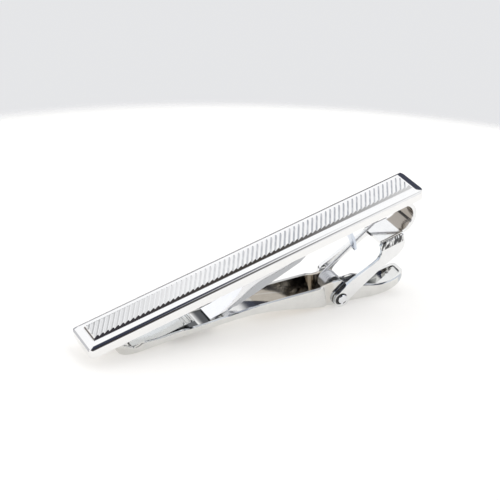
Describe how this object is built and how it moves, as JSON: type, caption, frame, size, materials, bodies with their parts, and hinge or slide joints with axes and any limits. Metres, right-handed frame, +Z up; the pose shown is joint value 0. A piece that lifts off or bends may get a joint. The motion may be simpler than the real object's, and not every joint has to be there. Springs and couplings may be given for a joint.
{
  "type": "tie bar clip",
  "caption": "Slim polished tie bar with a raised strip of slanted ribs and a sprung jaw clasp riveted to a folded frame on its back.",
  "frame": {"origin": "middle of the front bar's flat back face", "axes": "+Z straight up with the clip standing on its jaw tip and frame lobes, +X along the bar's slope towards the folded, hinged end, which is the higher one, +Y across the bar, away from the broad ear"},
  "size_m": [0.0562, 0.0062, 0.0195],
  "materials": {
    "polished_bar": "mirror polished plating",
    "clasp_plate": "polished plating over pressed sheet",
    "jaw_plate": "polished plating over pressed sheet",
    "rivet": "polished, peened heads",
    "spring_wire": "drawn wire"
  },
  "bodies": {
    "jaw": {"jaw_lever": "jaw_plate", "jaw_tooth": "jaw_plate", "torsion_spring": "spring_wire"},
    "clasp": {"front_bar": "polished_bar", "grip_leaf": "clasp_plate", "clasp_frame": "clasp_plate", "pivot_pin": "rivet"}
  },
  "joints": [
    {"name": "jaw_hinge", "type": "hinge", "parent": "jaw", "child": "clasp", "pos_m": [0.01575, 0, -0.00819], "axis": [0, 1, 0], "range_deg": [0, 30], "stiffness_Nm_per_rad": 0.02, "springref_deg": -68.75, "deforming": ["torsion_spring"]}
  ]
}
